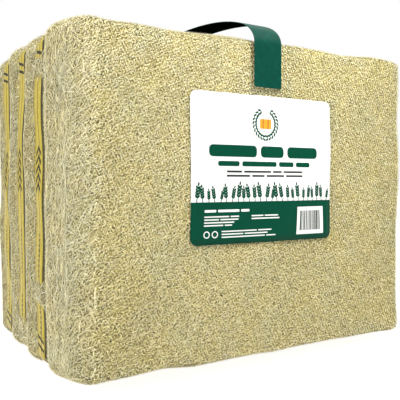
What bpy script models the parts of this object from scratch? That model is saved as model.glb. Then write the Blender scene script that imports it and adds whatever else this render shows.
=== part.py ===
"""A square bale of chopped straw, pressed into a rounded block and wrapped in clear shrink film.

Three flat plastic straps press grooves into the block, and the film dips where it crosses them.
A printed label sits on the film of the wide front face, and one flat tape, stuck to the front and
the back, arches over the top as a handle.

Metres, +Z up. The origin is on the ground under the middle of the bale. The long side lies along X,
the labelled face looks to -Y, and the straps run round the ends, the top and the underside.
"""

import bmesh
import bpy
from mathutils import Vector
from mathutils.geometry import interpolate_bezier

# Driving dimensions of the wrapped bale
LENGTH = 0.532
DEPTH = 0.390
HEIGHT = 0.420

# How far the rounding of the edges reaches along X, Y and Z, and how full it is: 2 is an ellipse
EDGE_REACH = (0.034, 0.095, 0.020)
EDGE_POWER = 1.5

# How far the ends and the two wide faces swell in their middle
SWELL_END = 0.003
SWELL_FACE = 0.005

# Clear film, the air between it and the straw, and how far it dips over a strap
FILM_THICK = 0.0006
FILM_AIR = 0.0010
FILM_DIP = 0.0030
VENT_SIZE = 0.008

# Straps and the grooves that they press
STRAP_WIDTH = 0.030
STRAP_THICK = 0.0010
STRAP_PITCH = 0.084
GROOVE_DEPTH = 0.0050
GROOVE_FLOOR = 0.033
CLEARANCE = 0.0004

# Label on the front face
LABEL_LEFT = -0.119
LABEL_WIDTH = 0.212
LABEL_BOTTOM = 0.158
LABEL_HEIGHT = 0.178
LABEL_CORNER = 0.009
LABEL_THICK = 0.0004

# Carry handle: a tape that leaves the front and back faces and arches low over the top. Its lift-off,
# shoulder and crown are heights above the bale's top, and the lift-off is below it.
HANDLE_CENTRE = -0.011
HANDLE_WIDTH = 0.041
HANDLE_THICK = 0.0010
HANDLE_END = 0.346
HANDLE_LIFT_OFF = -0.022
SHOULDER_BACK = 0.030
SHOULDER_RISE = 0.0085
SHOULDER_SLOPE = Vector((0.940, 0.342))
ARCH_RISE = 0.029

# Where the grid lines lie: across the flat of each side, and as shares of an edge's rounding
FLAT_LINES_X = (0.0, 0.060, 0.120, 0.180, 0.229)
FLAT_LINES_Z = (0.0, 0.065, 0.130, 0.188)
EDGE_SHARES = (0.35, 0.70, 1.0)

FILM_HALF = Vector((LENGTH, DEPTH, HEIGHT)) / 2
BLOCK_HALF = FILM_HALF - Vector((1.0, 1.0, 1.0)) * (FILM_THICK + FILM_AIR)
CENTRE = Vector((0.0, 0.0, HEIGHT / 2))

# From a groove's floor to the crest of the bulge between two straps
BULGE_REACH = (STRAP_PITCH - GROOVE_FLOOR) / 2


def clear_scene():
    for thing in list(bpy.data.objects):
        bpy.data.objects.remove(thing, do_unlink=True)


def make_material(name, colour, roughness, alpha=1.0):
    material = bpy.data.materials.new(name)
    material.use_nodes = True
    shader = material.node_tree.nodes["Principled BSDF"]
    shader.inputs["Base Color"].default_value = (*colour, 1.0)
    shader.inputs["Roughness"].default_value = roughness
    shader.inputs["Metallic"].default_value = 0.0
    shader.inputs["Alpha"].default_value = alpha
    return material


def add_object(name, mesh_data, material):
    """Turns a finished bmesh into a named object with outward faces."""
    bmesh.ops.recalc_face_normals(mesh_data, faces=mesh_data.faces)
    mesh = bpy.data.meshes.new(name)
    mesh_data.to_mesh(mesh)
    mesh_data.free()
    mesh.materials.append(material)
    mesh.shade_smooth()
    mesh.set_sharp_from_angle(angle=0.7)
    thing = bpy.data.objects.new(name, mesh)
    bpy.context.scene.collection.objects.link(thing)
    return thing


def skin_point(spot, half, press=0.0, press_under=0.0):
    """Moves a spot of a box of half size `half` onto the bale's rounded, swollen skin.

    `press` pushes the ends and the top in, as a strap does, and `press_under` the underside.
    """
    press_z = press if spot.z > 0 else press_under
    size = Vector((half.x - SWELL_END - press, half.y - SWELL_FACE, half.z - press_z))
    lean = Vector()
    core = Vector()
    for axis in range(3):
        inner = size[axis] - EDGE_REACH[axis]
        at = spot[axis] / half[axis] * size[axis]
        core[axis] = max(-inner, min(inner, at))
        lean[axis] = (at - core[axis]) / EDGE_REACH[axis]
    fullness = sum(abs(part) ** EDGE_POWER for part in lean) ** (1 / EDGE_POWER)
    lean /= fullness
    point = Vector(core[axis] + lean[axis] * EDGE_REACH[axis] for axis in range(3))
    u, v, w = (point[axis] / size[axis] for axis in range(3))
    point.x += SWELL_END * lean.x * abs(lean.x) * (1 - v * v) * (1 - w * w)
    point.y += SWELL_FACE * lean.y * abs(lean.y) * (1 - u * u) * (1 - w * w)
    return CENTRE + point


def grid_lines(flat_lines, half, reach, swell):
    """The lines across one side: those of its flat, then those of its rounded edges."""
    flat = (half - swell - reach) / (half - swell) * half
    lines = [*flat_lines, *(flat + (half - flat) * share for share in EDGE_SHARES)]
    return sorted({round(sign * line, 6) for line in lines for sign in (-1, 1)})


def shell_lines(half):
    """Grid lines along X, Y and Z. Those along Y follow the grooves' sides."""
    groove_sides = [GROOVE_FLOOR / 2, GROOVE_FLOOR / 2 + BULGE_REACH / 3]
    beside = [STRAP_PITCH + sign * side for side in groove_sides for sign in (-1, 1)]
    return (
        grid_lines(FLAT_LINES_X, half.x, EDGE_REACH[0], SWELL_END),
        grid_lines([*groove_sides, STRAP_PITCH / 2, *beside], half.y, EDGE_REACH[1], SWELL_FACE),
        grid_lines(FLAT_LINES_Z, half.z, EDGE_REACH[2], 0.0),
    )


def groove_share(y):
    """1 on the floor of a strap's groove, and down to 0 on the crest of the bulge beside it."""
    off = min(abs(y - place) for place in (-STRAP_PITCH, 0.0, STRAP_PITCH))
    climb = max(0.0, min(1.0, (off - GROOVE_FLOOR / 2) / BULGE_REACH))
    return (1.0 - climb) ** 2


def add_shell(mesh_data, lines, place):
    """Adds the closed surface of a box, gridded along `lines` and moved by `place`."""
    made = {}
    faces = {}

    def vertex(spot):
        if spot not in made:
            made[spot] = mesh_data.verts.new(place(Vector(spot)))
        return made[spot]

    for axis in range(3):
        first, second = ((axis + 1) % 3, (axis + 2) % 3)
        for side in (lines[axis][0], lines[axis][-1]):
            for i in range(len(lines[first]) - 1):
                for j in range(len(lines[second]) - 1):
                    ring = []
                    for di, dj in ((0, 0), (1, 0), (1, 1), (0, 1)):
                        spot = [0.0, 0.0, 0.0]
                        spot[axis] = side
                        spot[first] = lines[first][i + di]
                        spot[second] = lines[second][j + dj]
                        ring.append(vertex(tuple(spot)))
                    if side < 0:
                        ring.reverse()
                    faces[axis, side > 0, i, j] = mesh_data.faces.new(ring)
    return faces


def make_straw_block(material):
    """The pressed straw, grooved where the straps lie."""
    mesh_data = bmesh.new()

    def place(spot):
        press = GROOVE_DEPTH * groove_share(spot.y)
        return skin_point(spot, BLOCK_HALF, press, press)

    add_shell(mesh_data, shell_lines(BLOCK_HALF), place)
    return add_object("straw_block", mesh_data, material)


def make_film_wrap(material):
    """A closed skin of clear film, with one vent hole in its back face."""
    mesh_data = bmesh.new()
    shells = []
    for inset in (0.0, FILM_THICK):
        half = FILM_HALF - Vector((1.0, 1.0, 1.0)) * inset
        lines = shell_lines(half)

        def place(spot, half=half):
            return skin_point(spot, half, FILM_DIP * groove_share(spot.y))

        shells.append(add_shell(mesh_data, lines, place))

    vent_column = lines[0].index(FLAT_LINES_X[1])
    vent_row = lines[2].index(FLAT_LINES_Z[1])
    rims = []
    for shell in shells:
        face = shell[1, True, vent_row, vent_column]
        middle = face.calc_center_median()
        bmesh.ops.inset_individual(mesh_data, faces=[face], thickness=VENT_SIZE)
        for vertex in face.verts:
            vertex.co.x = middle.x + VENT_SIZE / 2 * (1 if vertex.co.x > middle.x else -1)
            vertex.co.z = middle.z + VENT_SIZE / 2 * (1 if vertex.co.z > middle.z else -1)
        rims += face.edges
        bmesh.ops.delete(mesh_data, geom=[face], context="FACES_ONLY")
    bmesh.ops.bridge_loops(mesh_data, edges=rims)
    return add_object("film_wrap", mesh_data, material)


def strap_ring():
    """The grid spots round one upright section of the block's box, in order, as (x, z)."""
    x_lines, _, z_lines = shell_lines(BLOCK_HALF)
    ring = [(x, z_lines[-1]) for x in x_lines[:-1]]
    ring += [(x_lines[-1], z) for z in reversed(z_lines[1:])]
    ring += [(x, z_lines[0]) for x in reversed(x_lines[1:])]
    ring += [(x_lines[0], z) for z in z_lines[:-1]]
    return ring


def make_strap(name, middle, material):
    """One flat band round the ends, the top and the underside, on the floor of its groove."""
    mesh_data = bmesh.new()
    inner = GROOVE_DEPTH - CLEARANCE
    outer = inner - STRAP_THICK
    low_y = middle - STRAP_WIDTH / 2
    high_y = middle + STRAP_WIDTH / 2
    corners = ((low_y, inner), (high_y, inner), (high_y, outer), (low_y, outer))
    sections = []
    for x, z in strap_ring():
        spots = [skin_point(Vector((x, y, z)), BLOCK_HALF, press, press) for y, press in corners]
        sections.append([mesh_data.verts.new(spot) for spot in spots])
    for here, there in zip(sections, sections[1:] + sections[:1]):
        for corner in range(4):
            beside = (corner + 1) % 4
            mesh_data.faces.new((here[corner], here[beside], there[beside], there[corner]))
    return add_object(name, mesh_data, material)


def front_face_y(x, z):
    """The Y of the film's swollen front face, away from its rounded edges."""
    u = x / (FILM_HALF.x - SWELL_END)
    w = (z - CENTRE.z) / FILM_HALF.z
    return -(FILM_HALF.y - SWELL_FACE) - SWELL_FACE * (1 - u * u) * (1 - w * w)


def make_label(material):
    """A rounded rectangle of thin printed film that follows the swell of the front face."""
    mesh_data = bmesh.new()
    outline = bmesh.ops.create_grid(mesh_data, x_segments=1, y_segments=1, size=0.5)["verts"]
    for vertex in outline:
        x = LABEL_LEFT + (vertex.co.x + 0.5) * LABEL_WIDTH
        z = LABEL_BOTTOM + (vertex.co.y + 0.5) * LABEL_HEIGHT
        vertex.co = (x, 0.0, z)
    bmesh.ops.bevel(
        mesh_data, geom=outline, offset=LABEL_CORNER, segments=4, profile=0.5, affect="VERTICES"
    )
    raised = bmesh.ops.extrude_face_region(mesh_data, geom=mesh_data.faces[:])["geom"]
    for vertex in (part for part in raised if isinstance(part, bmesh.types.BMVert)):
        vertex.co.y = -1.0
    cuts = [(Vector((1, 0, 0)), LABEL_LEFT + LABEL_WIDTH * share / 5) for share in range(1, 5)]
    cuts += [(Vector((0, 0, 1)), LABEL_BOTTOM + LABEL_HEIGHT * share / 4) for share in range(1, 4)]
    for normal, at in cuts:
        everything = mesh_data.verts[:] + mesh_data.edges[:] + mesh_data.faces[:]
        bmesh.ops.bisect_plane(mesh_data, geom=everything, plane_co=normal * at, plane_no=normal)
    for vertex in mesh_data.verts:
        proud = CLEARANCE + (LABEL_THICK if vertex.co.y < -0.5 else 0.0)
        vertex.co.y = front_face_y(vertex.co.x, vertex.co.z) - proud
    return add_object("label", mesh_data, material)


def handle_path():
    """The tape's middle line as (y, z): up the front face, over the arch and down the back."""
    face = DEPTH / 2 + CLEARANCE + HANDLE_THICK / 2
    lift_off = Vector((-face, HEIGHT + HANDLE_LIFT_OFF))
    shoulder = Vector((SHOULDER_BACK - face, HEIGHT + SHOULDER_RISE))
    crown = Vector((0.0, HEIGHT + ARCH_RISE))
    upward = Vector((0.0, 0.016))
    level = Vector((0.060, 0.0))
    path = [Vector((-face, HANDLE_END)), Vector((-face, (HANDLE_END + HEIGHT) / 2))]
    path += interpolate_bezier(
        lift_off, lift_off + upward, shoulder - SHOULDER_SLOPE * 0.014, shoulder, 8
    )
    path += interpolate_bezier(
        shoulder, shoulder + SHOULDER_SLOPE * 0.045, crown - level, crown, 11
    )[1:]
    front_half = [Vector((point.x, point.y)) for point in path]
    return front_half + [Vector((-point.x, point.y)) for point in reversed(front_half[:-1])]


def make_carry_handle(material):
    """A flat tape of even thickness swept along the handle's path."""
    mesh_data = bmesh.new()
    path = handle_path()
    sections = []
    for number, point in enumerate(path):
        ahead = path[min(number + 1, len(path) - 1)]
        behind = path[max(number - 1, 0)]
        along = (ahead - behind).normalized()
        outward = Vector((-along.y, along.x)) * HANDLE_THICK / 2
        ring = []
        for side, level in ((-1, -1), (1, -1), (1, 1), (-1, 1)):
            y, z = point + outward * level
            ring.append(mesh_data.verts.new((HANDLE_CENTRE + side * HANDLE_WIDTH / 2, y, z)))
        sections.append(ring)
    for here, there in zip(sections, sections[1:]):
        for corner in range(4):
            beside = (corner + 1) % 4
            mesh_data.faces.new((here[corner], here[beside], there[beside], there[corner]))
    mesh_data.faces.new(sections[0])
    mesh_data.faces.new(reversed(sections[-1]))
    return add_object("carry_handle", mesh_data, material)


def main():
    clear_scene()
    straw = make_material("pressed_straw", (0.62, 0.55, 0.29), 0.85)
    strap = make_material("yellow_strap", (0.60, 0.43, 0.07), 0.40)
    film = make_material("clear_film", (0.90, 0.90, 0.88), 0.15, alpha=0.2)
    print_film = make_material("label_film", (0.88, 0.89, 0.86), 0.45)
    tape = make_material("green_tape", (0.007, 0.105, 0.075), 0.45)
    make_straw_block(straw)
    for name, place in (("front", -1), ("middle", 0), ("back", 1)):
        make_strap("strap_" + name, place * STRAP_PITCH, strap)
    make_film_wrap(film)
    make_label(print_film)
    make_carry_handle(tape)


main()
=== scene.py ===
# %% [markdown]
# A square bale of chopped straw, wrapped in clear shrink film.
#
# Five things make the look: a skin of about 200,000 short straws, three printed plastic straps in
# grooves, a thin film that shines and hazes over both, a printed label, and a green carry tape.
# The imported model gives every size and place. This lesson builds the fine surfaces round it.

# %% Load the fixed frame
import math

import bpy
import numpy as np
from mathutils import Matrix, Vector
from mathutils.geometry import delaunay_2d_cdt, interpolate_bezier


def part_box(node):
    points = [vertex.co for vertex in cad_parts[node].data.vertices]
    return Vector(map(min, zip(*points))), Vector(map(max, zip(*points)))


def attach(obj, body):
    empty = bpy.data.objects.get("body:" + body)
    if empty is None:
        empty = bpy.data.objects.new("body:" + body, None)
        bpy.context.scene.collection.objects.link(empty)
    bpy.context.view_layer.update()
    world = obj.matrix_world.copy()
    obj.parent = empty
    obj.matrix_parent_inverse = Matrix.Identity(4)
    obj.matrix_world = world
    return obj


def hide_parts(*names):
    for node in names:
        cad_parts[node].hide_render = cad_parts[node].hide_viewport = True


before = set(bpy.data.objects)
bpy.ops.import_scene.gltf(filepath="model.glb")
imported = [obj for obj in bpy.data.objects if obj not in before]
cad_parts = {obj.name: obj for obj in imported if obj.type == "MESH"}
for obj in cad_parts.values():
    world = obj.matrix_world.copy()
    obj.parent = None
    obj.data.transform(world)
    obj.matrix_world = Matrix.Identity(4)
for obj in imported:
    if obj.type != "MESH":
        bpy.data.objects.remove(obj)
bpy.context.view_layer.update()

print("nodes:", sorted(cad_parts))

MM = 0.001

# %% [markdown]
# Colours are easiest to judge as sRGB hex values, the way a paint chart gives them, but shaders work
# in linear light. One function converts them. A second small function adds a node together with its
# settings and links, so that each material below reads as a list of what it is made of. It names a
# node's kind without the "ShaderNode" that all of them start with.

# %% Helpers for colours, nodes and materials
def linear(hex_colour):
    """An sRGB hex value as linear red, green, blue and an alpha of 1."""
    shares = [int(hex_colour[start:start + 2], 16) / 255 for start in (1, 3, 5)]
    bent = [s / 12.92 if s <= 0.04045 else ((s + 0.055) / 1.055) ** 2.4 for s in shares]
    return (*bent, 1.0)


def wire(tree, node, links):
    """Links a node's sockets to their sources: a socket, or a node for its first output."""
    for socket, source in links.items():
        is_socket = isinstance(source, bpy.types.NodeSocket)
        tree.links.new(source if is_socket else source.outputs[0], node.inputs[socket])


def add_node(tree, kind, settings=None, values=None, links=None, stops=None):
    """Adds a node: its settings, its sockets' fixed values, its links and a ramp's colour stops."""
    node = tree.nodes.new("ShaderNode" + kind)
    for name, value in (settings or {}).items():
        setattr(node, name, value)
    for socket, value in (values or {}).items():
        node.inputs[socket].default_value = value
    wire(tree, node, links or {})
    for number, (place, colour) in enumerate(stops or ()):
        ramp = node.color_ramp.elements
        stop = ramp[number] if number < 2 else ramp.new(place)
        stop.position = place
        stop.color = linear(colour)
    return node


def new_material(name, values):
    """A material with these fixed values on its Principled shader. Returns it, its tree and shader."""
    material = bpy.data.materials.new(name)
    material.use_nodes = True
    shader = material.node_tree.nodes["Principled BSDF"]
    for socket, value in values.items():
        shader.inputs[socket].default_value = value
    print("material:", name)
    return material, material.node_tree, shader


# %% [markdown]
# The camera stands low, level with the middle of the bale, and looks at the corner between the narrow
# strapped end and the wide labelled face. Its place was worked out from how fast the long edges
# close in on each other, which also gives the lens.

# %% Camera
CAMERA_AZIMUTH = math.radians(-30.98)
CAMERA_ELEVATION = math.radians(1.75)
CAMERA_DISTANCE = 0.890
CAMERA_SIDE_STEP = 0.0086
CAMERA_AIM_HEIGHT = 0.204
SENSOR_WIDTH = 36.0
LENS = 52.6

camera_data = bpy.data.cameras.new("camera")
camera_data.sensor_width = SENSOR_WIDTH
camera_data.lens = LENS
camera_data.clip_start = 0.01
camera = bpy.data.objects.new("camera", camera_data)
bpy.context.scene.collection.objects.link(camera)
backward = Vector((
    math.sin(CAMERA_AZIMUTH) * math.cos(CAMERA_ELEVATION),
    -math.cos(CAMERA_AZIMUTH) * math.cos(CAMERA_ELEVATION),
    math.sin(CAMERA_ELEVATION),
))
rightward = Vector((math.cos(CAMERA_AZIMUTH), math.sin(CAMERA_AZIMUTH), 0.0))
camera.location = (
    backward * CAMERA_DISTANCE + rightward * CAMERA_SIDE_STEP + Vector((0, 0, CAMERA_AIM_HEIGHT))
)
camera.rotation_mode = "QUATERNION"
camera.rotation_quaternion = (-backward).to_track_quat("-Z", "Y")
bpy.context.scene.camera = camera
print("camera stands at", [round(part, 3) for part in camera.location])

# %% [markdown]
# A product on white is lit almost evenly, with a little more light from above. The surround is
# brighter overhead than at the horizon, and only the camera sees it as plain white. A small soft box
# stands high in front, with a grid that narrows its light. It is aimed just over the top edge of the
# wide face, so that its light falls off towards the ground. A larger one stands far to the left,
# almost in the plane of the wide face, and lights the strapped end. The floor is a white sheet that
# is lit from below, as a light table is, so that no shadow shows on it.

# %% Light and floor
scene = bpy.context.scene
scene.view_settings.view_transform = "Standard"
scene.view_settings.look = "None"

HORIZON_LIGHT = 0.425
OVERHEAD_LIGHT = 1.49
# How high the light stops growing, as the upward part of a direction with a length of 1
FULL_HEIGHT = 0.8

world = bpy.data.worlds.new("studio")
world.use_nodes = True
sky = world.node_tree
sky.nodes.clear()
sky_way = add_node(sky, "TexCoord")
sky_height = add_node(sky, "SeparateXYZ", links={"Vector": sky_way.outputs["Generated"]})
sky_strength = add_node(
    sky, "MapRange",
    values={"From Max": FULL_HEIGHT, "To Min": HORIZON_LIGHT, "To Max": OVERHEAD_LIGHT},
    links={"Value": sky_height.outputs["Z"]},
)
sky_light = add_node(
    sky, "Background", values={"Color": linear("#ffffff")}, links={"Strength": sky_strength}
)
sky_seen = add_node(sky, "Background", values={"Color": linear("#ffffff"), "Strength": 1.0})
seen_ray = add_node(sky, "LightPath")
sky_both = add_node(
    sky, "MixShader", links={0: seen_ray.outputs["Is Camera Ray"], 1: sky_light, 2: sky_seen}
)
add_node(sky, "OutputWorld", links={"Surface": sky_both})
scene.world = world


def add_soft_box(name, place, aim, size, power, spread):
    """A square soft box that shines from place towards aim, in watts and in degrees of spread."""
    data = bpy.data.lights.new(name, "AREA")
    data.shape = "SQUARE"
    data.size = size
    data.energy = power
    data.spread = math.radians(spread)
    lamp = bpy.data.objects.new(name, data)
    scene.collection.objects.link(lamp)
    lamp.location = place
    lamp.rotation_mode = "QUATERNION"
    lamp.rotation_quaternion = (Vector(aim) - Vector(place)).to_track_quat("-Z", "Y")
    print(f"{name}: {power} W from a box {size} m wide")


add_soft_box(
    "gridded_key", place=(0.12, -0.92, 1.43), aim=(0.06, -0.2, 0.48), size=0.22, power=1.50, spread=40
)
add_soft_box(
    "end_fill", place=(-2.20, -0.46, 0.85), aim=(-0.26, 0.0, 0.2), size=0.5, power=31.0, spread=180
)

FLOOR_SIZE = 24.0
FLOOR_DROP = 0.5 * MM

floor_material, _, _ = new_material(
    "white_light_table",
    {
        "Base Color": linear("#a4a4a2"),
        "Roughness": 0.9,
        "Emission Color": linear("#ffffff"),
        "Emission Strength": 0.88,
    },
)
floor_mesh = bpy.data.meshes.new("floor")
reach = FLOOR_SIZE / 2
floor_mesh.from_pydata(
    [(-reach, -reach, 0), (reach, -reach, 0), (reach, reach, 0), (-reach, reach, 0)],
    [],
    [(0, 1, 2, 3)],
)
floor_mesh.materials.append(floor_material)
floor = bpy.data.objects.new("floor", floor_mesh)
floor.location.z = -FLOOR_DROP
scene.collection.objects.link(floor)

# %% [markdown]
# Everything on the bale follows one shape: a box with soft edges, slightly swollen faces, and three
# grooves where straps pull it in. So the skin is written once, as a function. It takes spots on a
# plain box and moves them onto the bale, at any depth under the film. Straw, straps, film and label
# all ask the same function, and so they lie on each other however the bale is lumped.

# %% The bale's skin as a function
film_low, film_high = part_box("film_wrap")
FILM_HALF = np.array((film_high - film_low) / 2)
EDGE_REACH = np.array((0.034, 0.095, 0.020))
EDGE_POWER = 1.5
SWELL_END = 3 * MM
SWELL_FACE = 5 * MM
STRAP_PITCH = 84 * MM
# The model's straps are 30 mm wide. Straw hides their edges, and 27 mm shows
STRAP_WIDTH = 27 * MM
GROOVE_FLOOR = 33 * MM
STRAP_LINES = (-STRAP_PITCH, 0.0, STRAP_PITCH)
# A spot as near as this to a side of the box counts as on it
ON_FACE = 1e-6
# The share of a turn by which each swell starts after the one before
SWELL_SHIFT = 0.37

# Slow unevenness of the pressed straw: height of a swell, and the length of its wave along X, Y, Z
SWELLS = (
    (0.7 * MM, (0.31, 0.27, 0.23)),
    (0.6 * MM, (-0.17, 0.22, 0.19)),
    (0.5 * MM, (0.12, -0.15, 0.11)),
    (0.35 * MM, (0.07, 0.08, -0.09)),
)

# Where the front's top (1) and bottom (-1) edges rise or sink: side, X, rise and half width
EDGE_WAVES = (
    (1, -0.236, 2.2 * MM, 0.022),
    (1, -0.120, -2.0 * MM, 0.035),
    (1, 0.195, 3.0 * MM, 0.030),
    (-1, -0.236, -1.5 * MM, 0.022),
    (-1, -0.140, 3.8 * MM, 0.026),
)


def ease(share):
    """0 below 0, 1 above 1, and a soft S between."""
    share = np.clip(share, 0.0, 1.0)
    return share * share * (3 - 2 * share)


def unit(vectors):
    """The same directions at a length of 1."""
    return vectors / np.linalg.norm(vectors, axis=1, keepdims=True)


def off_strap(y):
    """How far these places are from the middle line of the nearest strap."""
    return np.min([np.abs(y - line) for line in STRAP_LINES], axis=0)


def groove_share(y):
    """1 on the floor of a strap's groove, and down to 0 on the crest of the bulge beside it."""
    climb = (off_strap(y) - GROOVE_FLOOR / 2) / ((STRAP_PITCH - GROOVE_FLOOR) / 2)
    return 1.0 - ease(climb)


def unevenness(points):
    """How far the lumps of straw push the skin out at these points."""
    total = np.zeros(len(points))
    for number, (height, waves) in enumerate(SWELLS):
        turns = (points / np.array(waves)).sum(1) + SWELL_SHIFT * number
        total += height * np.sin(2 * math.pi * turns)
    return total


def edge_rise(points):
    """How far the front's top and bottom edges rise at these points."""
    # Only near the front, and there only near its top and bottom edges
    front = ease((-points[:, 1] / FILM_HALF[1] - 0.55) / 0.4)
    near_edge = ease((np.abs(points[:, 2]) / FILM_HALF[2] - 0.72) / 0.25)
    total = np.zeros(len(points))
    for side, x, rise, width in EDGE_WAVES:
        bump = rise * np.exp(-(((points[:, 0] - x) / width) ** 2))
        total += np.where(points[:, 2] * side > 0, bump, 0.0)
    return total * front * near_edge


def skin(spots, inset=0.0, dip=None, flat_under=False):
    """Points on the bale for spots on its box, `inset` under the film, and the way out at each.

    `dip` is how deep the grooves are at each spot. With flat_under the underside has none.
    """
    dip = np.zeros(len(spots)) if dip is None else dip
    dip_z = np.where(flat_under & (spots[:, 2] < 0), 0.0, dip)
    size = np.stack([SWELL_END + dip, np.full(len(spots), SWELL_FACE), dip_z], 1)
    size = FILM_HALF - np.reshape(inset, (-1, 1)) - size
    at = spots / FILM_HALF * size
    core = np.clip(at, EDGE_REACH - size, size - EDGE_REACH)
    lean = (at - core) / EDGE_REACH
    lean /= (np.abs(lean) ** EDGE_POWER).sum(1, keepdims=True) ** (1 / EDGE_POWER)
    points = core + lean * EDGE_REACH
    u, v, w = (points / size).T
    bowed = lean * np.abs(lean)
    points[:, 0] += SWELL_END * bowed[:, 0] * (1 - v * v) * (1 - w * w)
    points[:, 1] += SWELL_FACE * bowed[:, 1] * (1 - u * u) * (1 - w * w)
    out = np.sign(lean) * np.abs(lean) ** (EDGE_POWER - 1) / EDGE_REACH
    out = unit(out)
    # The lumps fade out towards the underside, which rests flat
    resting = ease((-lean[:, 2] - 0.2) / 0.6)
    points += out * (unevenness(points) * (1 - resting))[:, None]
    points[:, 2] += edge_rise(points) + FILM_HALF[2]
    return points, out


print("film box in mm:", (FILM_HALF * 2000).round(1))

# %% [markdown]
# Big meshes are quickest as arrays. One helper turns arrays of points and corners into a mesh, and
# another lays a grid of squares over the whole box and joins it along the box's edges, so that the
# surface is closed.

# %% Mesh helpers
def mesh_from_arrays(name, points, corners, face_sizes):
    """A mesh from an array of points, the points' numbers round each face, and the faces' sizes."""
    mesh = bpy.data.meshes.new(name)
    mesh.vertices.add(len(points))
    mesh.vertices.foreach_set("co", np.asarray(points, np.float32).ravel())
    mesh.loops.add(len(corners))
    mesh.loops.foreach_set("vertex_index", np.asarray(corners, np.int32))
    mesh.polygons.add(len(face_sizes))
    starts = np.concatenate([[0], np.cumsum(face_sizes)[:-1]])
    mesh.polygons.foreach_set("loop_start", starts.astype(np.int32))
    mesh.update(calc_edges=True)
    mesh.validate()
    return mesh


def mesh_from_faces(name, points, faces):
    """A mesh from an array of points, and one of faces that all have as many corners."""
    return mesh_from_arrays(name, points, faces.ravel(), np.full(len(faces), faces.shape[1]))


def point_values(mesh, name, values):
    """Keeps one number, or one vector, for each point of a mesh, for its material to read."""
    values = np.asarray(values, np.float32)
    kind = "FLOAT_VECTOR" if values.ndim == 2 else "FLOAT"
    field = "vector" if values.ndim == 2 else "value"
    mesh.attributes.new(name, kind, "POINT").data.foreach_set(field, values.ravel())


def add_piece(name, mesh, node, materials, inks=None):
    """Links a mesh as a piece of the bale that rides on it and stands for a node of the model.

    inks gives the number of each face's material, where a piece has more than one.
    """
    for material in materials:
        mesh.materials.append(material)
    if inks is not None:
        mesh.polygons.foreach_set("material_index", np.asarray(inks, np.int32))
    piece = bpy.data.objects.new(name, mesh)
    scene.collection.objects.link(piece)
    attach(piece, "root")
    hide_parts(node)
    print(f"{name}: {len(mesh.vertices)} points, {len(mesh.polygons)} faces")
    return piece


def box_grid(lines):
    """Spots and square faces of a closed grid on a box, from the grid lines along X, Y and Z."""
    squares = []
    for axis in range(3):
        first, second = ((axis + 1) % 3, (axis + 2) % 3)
        for side in (0, len(lines[axis]) - 1):
            i, j = np.meshgrid(
                np.arange(len(lines[first]) - 1), np.arange(len(lines[second]) - 1), indexing="ij"
            )
            turns = ((0, 0), (1, 0), (1, 1), (0, 1))
            ring = np.zeros((i.size, 4, 3), int)
            for corner, (di, dj) in enumerate(turns if side else turns[::-1]):
                ring[:, corner, axis] = side
                ring[:, corner, first] = i.ravel() + di
                ring[:, corner, second] = j.ravel() + dj
            squares.append(ring)
    knots, numbers = np.unique(np.concatenate(squares).reshape(-1, 3), axis=0, return_inverse=True)
    spots = np.stack([np.asarray(lines[axis])[knots[:, axis]] for axis in range(3)], 1)
    return spots, numbers.reshape(-1, 4)


def even_lines(step):
    """Grid lines along X, Y and Z about one step apart."""
    return [np.linspace(-half, half, round(2 * half / step) + 1) for half in FILM_HALF]


# %% [markdown]
# Straw is the dry stem of wheat or barley, chopped short. It is hollow, splits into flat slivers, and
# has a waxy skin, so it is pale gold with a soft sheen, and each piece differs a little from the next.
# Every sliver carries its own shade as a number, which a colour ramp turns into straw colours. The
# number is partly a tone of its own and partly painted shade, for how deep the sliver lies and where
# on the bale it is. A noise that is stretched along the stem gives its fibre lines, about 0.3 mm
# apart, and a slow noise makes some patches yellower and others greyer, as handfuls of straw are.

# %% Straw material
STRAW_SHADES = (
    (0.00, "#332c10"),
    (0.25, "#80743c"),
    (0.50, "#d9ca8b"),
    (0.75, "#fdf1bd"),
    (1.00, "#fff8d4"),
)
FIBRE_SPACING_MM = 0.3
PATCH_SIZE = 45 * MM


def add_patches(tree, colour):
    """Warms some patches of the bale and greys others. Returns the node with the new colour."""
    place = add_node(tree, "TexCoord")
    patches = add_node(
        tree, "TexNoise",
        values={"Scale": 1 / PATCH_SIZE, "Detail": 2.0},
        links={"Vector": place.outputs["Object"]},
    )
    cast = add_node(
        tree, "ValToRGB",
        links={"Fac": patches},
        stops=[(0.36, "#f7f9f4"), (0.50, "#fdfcf4"), (0.66, "#fefcea")],
    )
    return add_node(tree, "VectorMath", {"operation": "MULTIPLY"}, links={0: colour, 1: cast})


chopped_straw, straw_tree, straw_shader = new_material(
    "chopped_wheat_straw", {"Roughness": 0.55, "IOR": 1.45}
)
straw_shade = add_node(straw_tree, "Attribute", {"attribute_name": "shade"})
straw_ramp = add_node(
    straw_tree, "ValToRGB", links={"Fac": straw_shade.outputs["Fac"]}, stops=STRAW_SHADES
)
straw_stem = add_node(straw_tree, "Attribute", {"attribute_name": "stem_mm"})
straw_stretch = add_node(
    straw_tree, "VectorMath", {"operation": "MULTIPLY"},
    values={1: (0.15, 1 / FIBRE_SPACING_MM, 1.0)},
    links={0: straw_stem.outputs["Vector"]},
)
straw_fibres = add_node(
    straw_tree, "TexNoise", values={"Scale": 1.0, "Detail": 2.0}, links={"Vector": straw_stretch}
)
straw_lines = add_node(
    straw_tree, "MapRange",
    values={"From Min": 0.3, "From Max": 0.7, "To Min": 0.86, "To Max": 1.08},
    links={"Value": straw_fibres},
)
straw_lined = add_node(
    straw_tree, "VectorMath", {"operation": "SCALE"}, links={0: straw_ramp, "Scale": straw_lines}
)
straw_bump = add_node(
    straw_tree, "Bump",
    values={"Strength": 0.25, "Distance": 0.2 * MM},
    links={"Height": straw_fibres},
)
wire(
    straw_tree,
    straw_shader,
    {"Base Color": add_patches(straw_tree, straw_lined), "Normal": straw_bump},
)
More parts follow.
